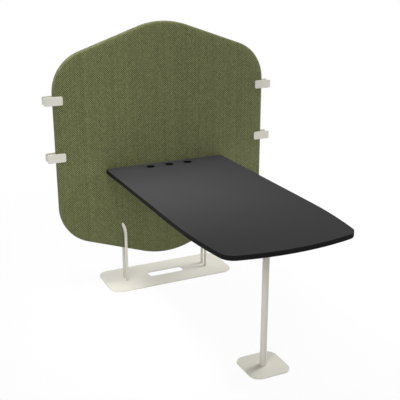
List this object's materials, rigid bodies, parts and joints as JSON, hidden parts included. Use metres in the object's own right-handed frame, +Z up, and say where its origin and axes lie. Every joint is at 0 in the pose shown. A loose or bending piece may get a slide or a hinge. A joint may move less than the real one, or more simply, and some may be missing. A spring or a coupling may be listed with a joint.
{
  "type": "desk with privacy screen",
  "caption": "Rounded desk top fixed to a hexagonal padded privacy screen, on a round leg with a levelling foot and a slotted base plate, with link plates and cable holes.",
  "frame": {"origin": "on the floor, in the middle of the part's width and depth", "axes": "+X along the screen, +Y from the front of the desk to the screen, +Z up"},
  "size_m": [1.435, 1.7004, 1.5743],
  "materials": {
    "screen_fabric": "coarse two-tone woven upholstery",
    "core_board": "plain plywood",
    "frame_paint": "fine satin powder coat",
    "felt": "pressed felt",
    "desk_edge": "sealed black fibreboard",
    "desk_laminate": "matt laminate",
    "liner_plastic": "matt black moulding",
    "zinc_steel": "zinc plated"
  },
  "bodies": {
    "stand": {"screen_core": "core_board", "screen_pad_front": "screen_fabric", "screen_pad_rear": "screen_fabric", "base_plate": "frame_paint", "base_felt_left": "felt", "base_felt_right": "felt", "leg_tube": "frame_paint", "leg_flange": "frame_paint", "desk_board": "desk_edge", "desk_laminate": "desk_laminate", "desk_bracket_left": "frame_paint", "desk_bracket_right": "frame_paint", "prong_front_left": "frame_paint", "prong_front_right": "frame_paint", "prong_rear_left": "frame_paint", "prong_rear_right": "frame_paint", "link_plate_front_upper_left": "frame_paint", "link_plate_front_upper_right": "frame_paint", "link_plate_front_lower_left": "frame_paint", "link_plate_front_lower_right": "frame_paint", "link_plate_rear_upper_left": "frame_paint", "link_plate_rear_upper_right": "frame_paint", "link_plate_rear_lower_left": "frame_paint", "link_plate_rear_lower_right": "frame_paint", "cable_liner_left": "liner_plastic", "cable_liner_middle": "liner_plastic", "cable_liner_right": "liner_plastic", "prong_base_screws": "zinc_steel", "prong_lug_screws": "zinc_steel", "link_sleeves": "zinc_steel", "link_screws": "zinc_steel", "bracket_screws": "zinc_steel", "bracket_bolts": "zinc_steel", "bracket_spacers": "zinc_steel", "core_inserts": "zinc_steel", "leg_flange_screws": "zinc_steel", "leg_plug": "zinc_steel"},
    "foot": {"foot_plate": "frame_paint", "foot_spindle": "zinc_steel", "foot_felt": "felt"}
  },
  "joints": [
    {"name": "foot_level", "type": "slide", "parent": "stand", "child": "foot", "axis": [0, 0, -1], "range_m": [0, 0.012]}
  ]
}
